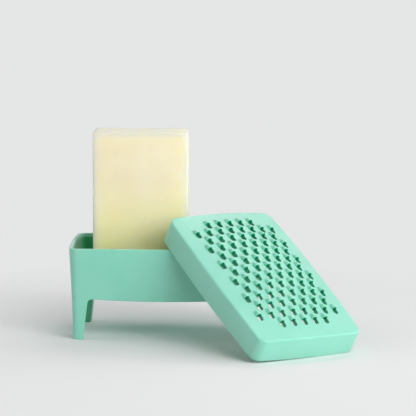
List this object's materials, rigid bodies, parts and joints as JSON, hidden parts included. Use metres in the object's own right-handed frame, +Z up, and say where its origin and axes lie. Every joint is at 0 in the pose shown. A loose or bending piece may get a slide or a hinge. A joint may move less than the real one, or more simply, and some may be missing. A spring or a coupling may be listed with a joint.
{
  "type": "soap dish",
  "caption": "Rectangular soap dish: a tray on tapered legs, a shallow grater lid leaning on its rim, and a bar of soap standing in the tray.",
  "frame": {"origin": "middle of the set's footprint, on the surface it stands on", "axes": "+X along the tray's long side, to the right in the picture; +Y towards the back; +Z up"},
  "size_m": [0.1796, 0.1564, 0.1271],
  "materials": {
    "tray_plastic": "mint green moulded plastic, satin",
    "lid_plastic": "mint green moulded plastic, satin",
    "soap": "cream soap, slightly translucent, smooth and unmarked"
  },
  "bodies": {
    "tray": {"dish_tray": "tray_plastic"},
    "lid": {"grater_lid": "lid_plastic"},
    "soap": {"soap_bar": "soap"}
  },
  "joints": [
    {"name": "lid_lift", "type": "slide", "parent": "tray", "child": "lid", "axis": [0.3238, -0.4164, 0.8495], "range_m": [0, 0.12]},
    {"name": "soap_lift", "type": "slide", "parent": "tray", "child": "soap", "axis": [0, 0, 1], "range_m": [0, 0.1]}
  ]
}
